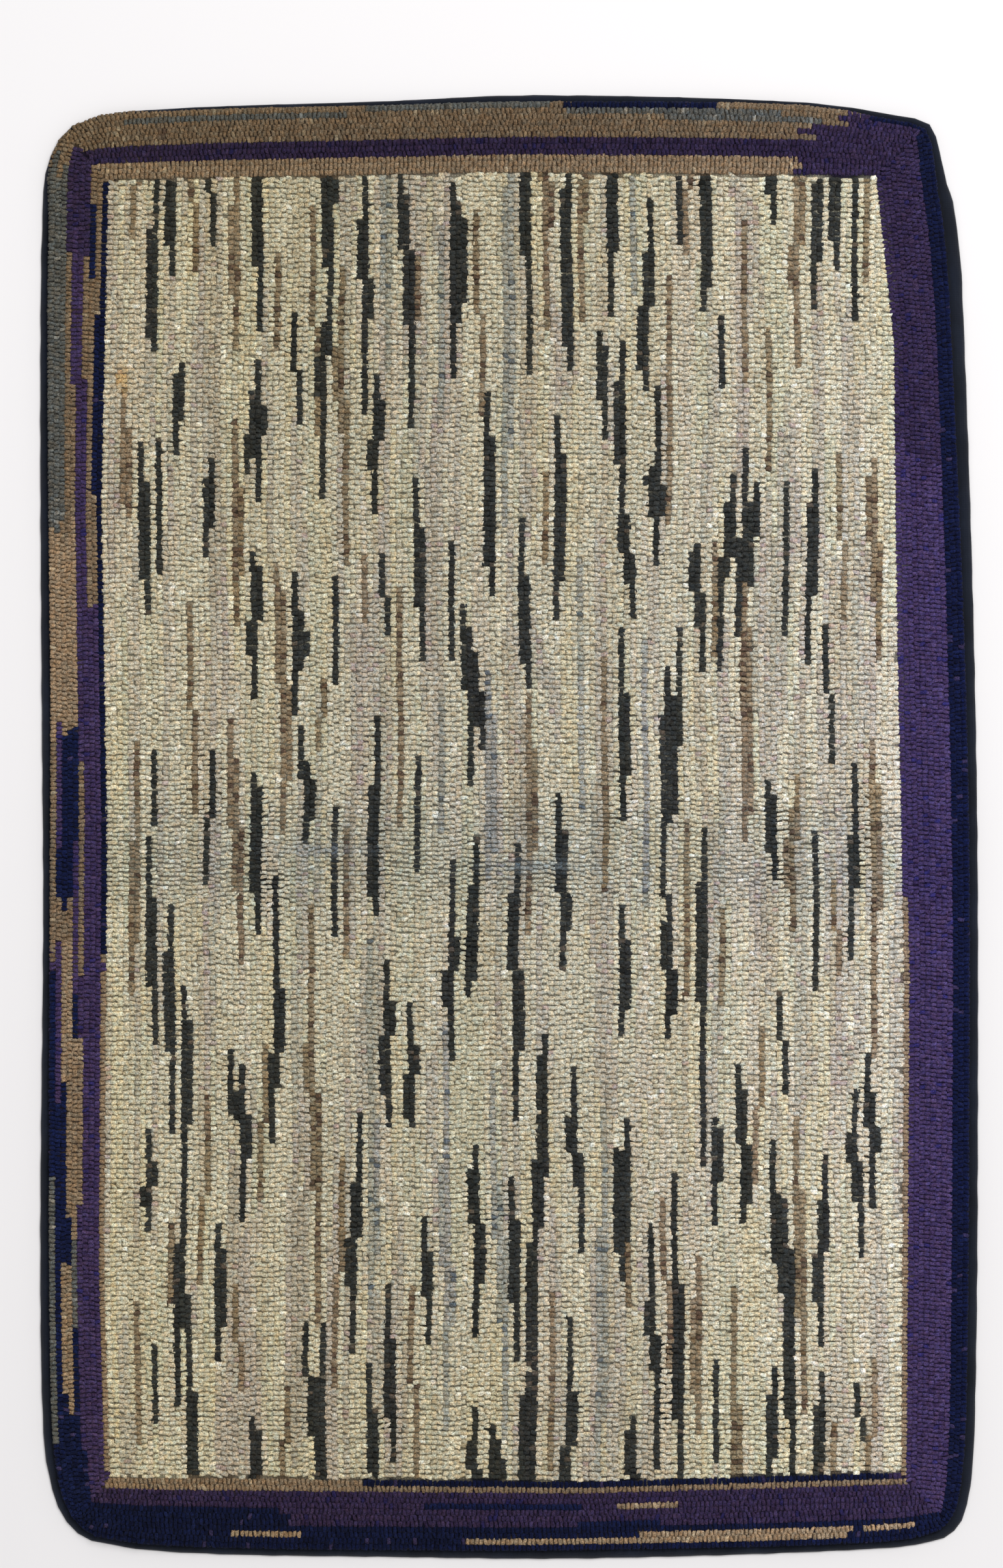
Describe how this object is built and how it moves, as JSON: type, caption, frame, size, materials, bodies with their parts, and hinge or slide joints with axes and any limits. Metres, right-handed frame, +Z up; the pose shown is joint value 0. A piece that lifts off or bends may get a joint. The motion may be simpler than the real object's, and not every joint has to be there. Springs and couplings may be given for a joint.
{
  "type": "hooked rug",
  "caption": "Rectangular hand-hooked wool rug, laid flat: streaked pale field in a dark border, with a cloth-bound edge and softly rounded corners.",
  "frame": {"origin": "middle of the rug's footprint, on the floor under its back", "axes": "+Z up out of the pile, +Y along the rug's length towards its bowed end, +X across it"},
  "size_m": [0.6422, 1.0022, 0.0086],
  "materials": {
    "wool_pile": "matte",
    "binding_cloth": "matte",
    "foundation_cloth": "matte",
    "pale_yarn": "matte",
    "heather_yarn": "matte",
    "charcoal_yarn": "matte",
    "tweed_yarn": "matte",
    "blue_grey_yarn": "matte",
    "tan_yarn": "matte",
    "grey_yarn": "matte",
    "purple_yarn": "matte",
    "navy_yarn": "matte"
  },
  "bodies": {
    "root": {"hooked_pile": "wool_pile", "edge_binding": "binding_cloth"}
  },
  "joints": []
}
